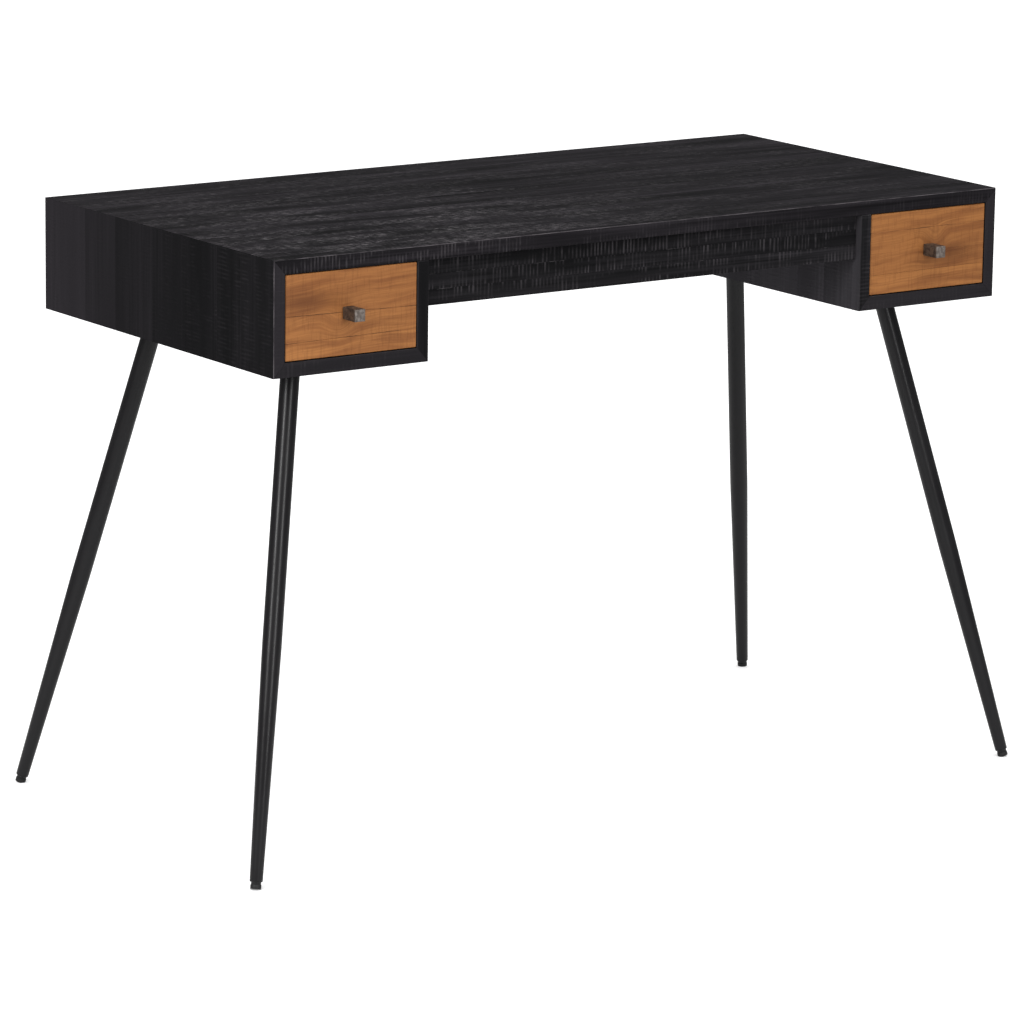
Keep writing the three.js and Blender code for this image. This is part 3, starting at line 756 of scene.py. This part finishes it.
# ---------------------------------------------------------------------------
# Legs: round steel tube, straight above and tapered to a rounded mouth below,
# splayed outwards and welded to a square plate; satin black powder coat.
POWDER_BLACK = "171618"
PEEL_MM = (1.6, 1.6, 1.6)
COAT_CLOUD_MM = (40, 40, 90)
COAT_SMOOTH, COAT_ROUGH = 0.28, 0.36
COAT_RELIEF = 0.0001
CORNERS = {
    "front_left": (-1, -1), "front_right": (1, -1), "back_left": (-1, 1), "back_right": (1, 1),
}
LEG_SPLAY = 0.128                # how far a foot stands out each way
LEG_LENGTH = 0.63497             # below the case, along the tube
LEG_STEPS = 64
TUBE_RADIUS = 0.012
TUBE_WALL = 0.0016
TUBE_SPARE = 0.02                # cut off again inside the plate
TAPER_LENGTH = 0.281
TAPER_BLEND = 0.006
TAPER_BLEND_IN = 0.0001
MOUTH_RADIUS = 0.008
MOUTH_DEPTH = 0.02
MOUTH_STEPS = 4
PLATE_HALF = 0.045
PLATE_THICKNESS = 0.003
PLATE_CORNER = 0.006
PLATE_EASE = 0.0005
RIM_FROM, RIM_TO = math.radians(80), math.radians(100)
WELD_RADIUS = 0.0022
WELD_OFF_TUBE = 0.0006
WELD_OFF_PLATE = 0.0004
WELD_SECTION = 10
WELD_STEPS = 90
WELD_RIPPLES = 30
WELD_RIPPLE = 0.012
SMOOTH_UNDER = math.radians(40)

# Satin powder coat: an even black film with long soft shines, just pebbled.
powder_coat, tree, shader = new_material(
    "satin_powder_coat", Base_Color=to_linear(POWDER_BLACK), Specular_IOR_Level=0.3,
)
place = add(tree, "TexCoord").outputs["Object"]
peel = pattern(tree, place, PEEL_MM, low=0.3, high=0.7, detail=1.0)
cloud = pattern(tree, place, COAT_CLOUD_MM, low=0.35, high=0.65)
rough = add(tree, "MapRange", {"Value": cloud, "To Min": COAT_SMOOTH, "To Max": COAT_ROUGH})
tree.links.new(rough.outputs[0], shader.inputs["Roughness"])
bump = add(tree, "Bump", {"Height": peel, "Strength": 0.12, "Distance": COAT_RELIEF})
tree.links.new(bump.outputs[0], shader.inputs["Normal"])


def spin_round(shape, steps):
    """Turns what the shape holds once round Z into a closed skin, faces outwards."""
    bmesh.ops.spin(
        shape, geom=shape.verts[:] + shape.edges[:], axis=Z, cent=(0, 0, 0),
        angle=2 * math.pi, steps=steps, use_merge=True,
    )
    bmesh.ops.remove_doubles(shape, verts=shape.verts, dist=MERGE)
    bmesh.ops.recalc_face_normals(shape, faces=shape.faces)


def turned(profile, steps):
    """A shape turned from a profile of (radius, height) points."""
    shape = bmesh.new()
    verts = [shape.verts.new((radius, 0, height)) for radius, height in profile]
    for pair in zip(verts, verts[1:]):
        shape.edges.new(pair)
    spin_round(shape, steps)
    return shape


def cut_flat(shape, point, normal):
    """Cuts away what lies beyond a plane and closes the cut."""
    cut = bmesh.ops.bisect_plane(
        shape, geom=shape.verts[:] + shape.edges[:] + shape.faces[:],
        plane_co=point, plane_no=normal, clear_outer=True,
    )
    rim = [item for item in cut["geom_cut"] if isinstance(item, bmesh.types.BMEdge)]
    bmesh.ops.edgeloop_fill(shape, edges=rim)


def leg_axis(corner):
    """Where a leg meets the case, the top of its plate, the way it points down, and
    the move that takes an upright leg there."""
    low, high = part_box(f"leg_{corner}")
    side_x, side_y = CORNERS[corner]
    plate_x = (low.x if side_x > 0 else high.x) + side_x * PLATE_HALF
    plate_y = (low.y if side_y > 0 else high.y) + side_y * PLATE_HALF
    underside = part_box("bottom_panel_left")[0].z
    head = Vector((plate_x, plate_y, underside))
    top = Vector((plate_x, plate_y, high.z))
    down = Vector((side_x * LEG_SPLAY, side_y * LEG_SPLAY, -underside)).normalized()
    turn = (-Z).rotation_difference(down).to_matrix().to_4x4()
    return head, top, down, Matrix.Translation(head) @ turn


for corner in CORNERS:
    head, top, down, leg_place = leg_axis(corner)
    bore = MOUTH_RADIUS - TUBE_WALL
    taper_start = TAPER_LENGTH - LEG_LENGTH
    profile = [(0, -LEG_LENGTH + MOUTH_DEPTH), (bore, -LEG_LENGTH + MOUTH_DEPTH)]
    for step in range(MOUTH_STEPS + 1):
        angle = math.radians(90 / MOUTH_STEPS * step)
        profile.append((
            MOUTH_RADIUS - TUBE_WALL * (1 - math.sin(angle)),
            -LEG_LENGTH + TUBE_WALL * (1 - math.cos(angle)),
        ))
    profile += [
        (TUBE_RADIUS - TAPER_BLEND_IN, taper_start - TAPER_BLEND),
        (TUBE_RADIUS, taper_start + TAPER_BLEND),
        (TUBE_RADIUS, TUBE_SPARE),
        (0, TUBE_SPARE),
    ]
    tube = turned(profile, LEG_STEPS)
    bmesh.ops.transform(tube, matrix=leg_place, verts=tube.verts)
    cut_flat(tube, Vector((0, 0, top.z - PLATE_THICKNESS / 2)), Z)

    plate_size = Vector((2 * PLATE_HALF, 2 * PLATE_HALF, PLATE_THICKNESS))
    plate = block(plate_size, top - Z * PLATE_THICKNESS / 2)
    upright_edges = [e for e in plate.edges if abs(e.verts[0].co.z - e.verts[1].co.z) > MERGE]
    bmesh.ops.bevel(
        plate, geom=upright_edges, offset=PLATE_CORNER, segments=6, profile=0.5,
        affect="EDGES", material=-1,
    )
    rim = [edge for edge in plate.edges if RIM_FROM < edge.calc_face_angle() < RIM_TO]
    bmesh.ops.bevel(
        plate, geom=rim, offset=PLATE_EASE, segments=2, profile=0.5, affect="EDGES", material=-1,
    )

    weld = bmesh.new()
    bmesh.ops.create_circle(weld, segments=WELD_SECTION, radius=WELD_RADIUS, cap_ends=False)
    on_edge = Matrix.Rotation(math.pi / 2, 3, "X")
    bmesh.ops.rotate(weld, verts=weld.verts, matrix=on_edge, cent=(0, 0, 0))
    bmesh.ops.translate(weld, vec=(TUBE_RADIUS + WELD_OFF_TUBE, 0, 0), verts=weld.verts)
    spin_round(weld, WELD_STEPS)
    for vert in weld.verts:
        around = math.atan2(vert.co.y, vert.co.x)
        ripple = 1 + WELD_RIPPLE * math.sin(WELD_RIPPLES * around)
        vert.co = Vector((vert.co.x * ripple, vert.co.y * ripple, vert.co.z))
    weld_z = top.z - PLATE_THICKNESS - WELD_OFF_PLATE
    weld_at = head + down * ((weld_z - head.z) / down.z)
    bmesh.ops.translate(weld, vec=weld_at, verts=weld.verts)

    for name, shape, smooth in (
        (f"leg_tube_{corner}", tube, True),
        (f"leg_plate_{corner}", plate, False),
        (f"leg_weld_{corner}", weld, True),
    ):
        part = new_piece(name, shape, powder_coat, smooth)
        if smooth:
            part.data.set_sharp_from_angle(angle=SMOOTH_UNDER)
        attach(part, "case")
        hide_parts(f"leg_{corner}")


# ---------------------------------------------------------------------------
# Foot plugs: moulded black nylon, pushed into the tube's mouth on a slimmer
# neck, with a round flange whose outer edge is cut flat to stand on the floor.
NYLON_BLACK = "1B1B1C"
NYLON_GRAIN_MM = (0.8, 0.8, 0.8)    # the mould's matt grain, drawn coarse enough to show
NYLON_SMOOTH, NYLON_ROUGH = 0.42, 0.58
NYLON_RELIEF = 0.00008
PLUG_END = 0.64347                  # below the case, along the tube
PLUG_STEPS = 48
PLUG_PROFILE = (
    # radius, height above the plug's end: the flange, then the neck
    (0.0, 0.0), (0.0059, 0.0), (0.00655, 0.00022), (0.0067, 0.0008),
    (0.0067, 0.0047), (0.00655, 0.00528), (0.0059, 0.0055),
    (0.0061, 0.0058), (0.0061, 0.0245), (0.0, 0.0245),
)

# Moulded nylon: a shade paler than the steel above it, and matt all over.
nylon, tree, shader = new_material(
    "moulded_black_nylon", Base_Color=to_linear(NYLON_BLACK), Specular_IOR_Level=0.35,
)
place = add(tree, "TexCoord").outputs["Object"]
matt = pattern(tree, place, NYLON_GRAIN_MM, low=0.3, high=0.7, detail=1.0)
rough = add(tree, "MapRange", {"Value": matt, "To Min": NYLON_SMOOTH, "To Max": NYLON_ROUGH})
tree.links.new(rough.outputs[0], shader.inputs["Roughness"])
bump = add(tree, "Bump", {"Height": matt, "Strength": 0.2, "Distance": NYLON_RELIEF})
tree.links.new(bump.outputs[0], shader.inputs["Normal"])

for corner in CORNERS:
    leg_place = leg_axis(corner)[3]
    shape = turned([(radius, height - PLUG_END) for radius, height in PLUG_PROFILE], PLUG_STEPS)
    bmesh.ops.transform(shape, matrix=leg_place, verts=shape.verts)
    cut_flat(shape, Vector((0, 0, 0)), -Z)
    plug = new_piece(f"nylon_foot_{corner}", shape, nylon, smooth=True)
    plug.data.set_sharp_from_angle(angle=SMOOTH_UNDER)
    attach(plug, "case")
    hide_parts(f"foot_plug_{corner}")


# ---------------------------------------------------------------------------
# Screws: zinc-plated pan heads with a cross recess, four through each leg's
# plate and one through each drawer front into its knob.
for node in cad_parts:
    if "_screw_" in node:
        shape = node_solid(node)
        screw = new_piece(f"pan_head_{node}", shape, zinc_steel)
        on_leg = node.startswith("leg")
        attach(screw, "case" if on_leg else f"drawer_{node.removeprefix('knob_screw_')}")
        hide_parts(node)
